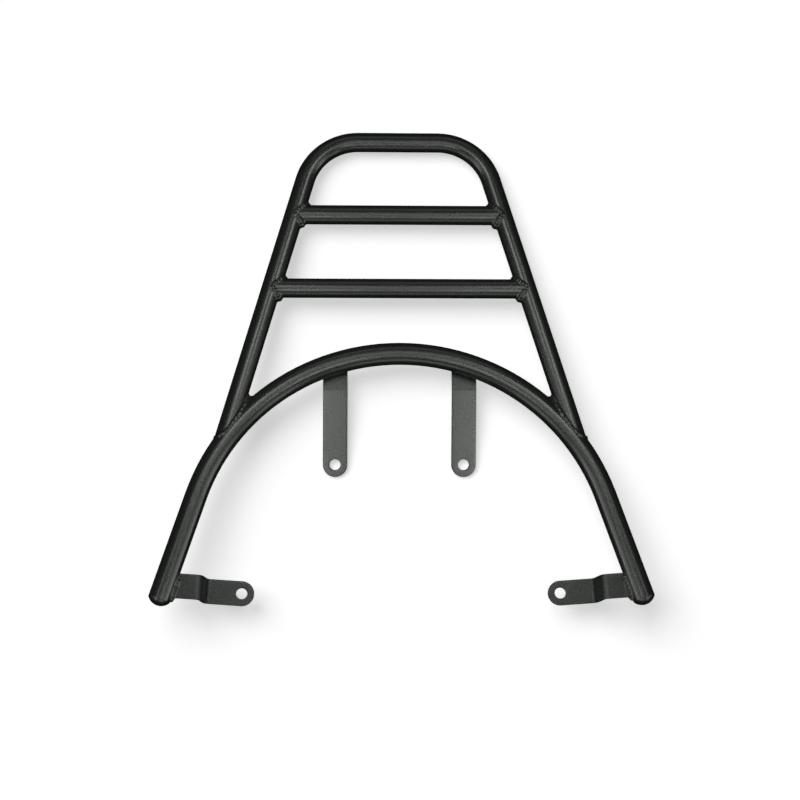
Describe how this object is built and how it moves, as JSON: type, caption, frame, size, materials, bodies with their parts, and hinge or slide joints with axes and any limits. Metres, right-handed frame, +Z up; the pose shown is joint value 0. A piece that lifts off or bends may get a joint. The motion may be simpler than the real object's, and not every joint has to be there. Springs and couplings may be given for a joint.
{
  "type": "motorcycle luggage rack",
  "caption": "Rear luggage rack of round steel tube: a hoop with crossbars on a wide arch, with flat straps and stepped tabs for its bolts.",
  "frame": {"origin": "midway between the bolt holes of the two tabs, on the underside of the tab plates", "axes": "+X to the right across the motorcycle, +Y to the rear, towards the hoop's rear bar, +Z up, square to the tube frame"},
  "size_m": [0.4046, 0.3946, 0.0444],
  "materials": {
    "tube_coat": "satin black powder coat on steel tube",
    "flat_coat": "satin black powder coat on flat steel bar",
    "weld_coat": "satin black powder coat over weld beads"
  },
  "bodies": {
    "root": {"hoop_tube": "tube_coat", "upper_crossbar": "tube_coat", "lower_crossbar": "tube_coat", "arch_tube": "tube_coat", "left_strap": "flat_coat", "right_strap": "flat_coat", "left_tab": "flat_coat", "right_tab": "flat_coat", "left_end_cap": "tube_coat", "right_end_cap": "tube_coat", "upper_crossbar_weld_left": "weld_coat", "upper_crossbar_weld_right": "weld_coat", "lower_crossbar_weld_left": "weld_coat", "lower_crossbar_weld_right": "weld_coat", "hoop_weld_left": "weld_coat", "hoop_weld_right": "weld_coat", "strap_weld_left": "weld_coat", "strap_weld_right": "weld_coat", "tab_weld_left": "weld_coat", "tab_weld_right": "weld_coat"}
  },
  "joints": []
}
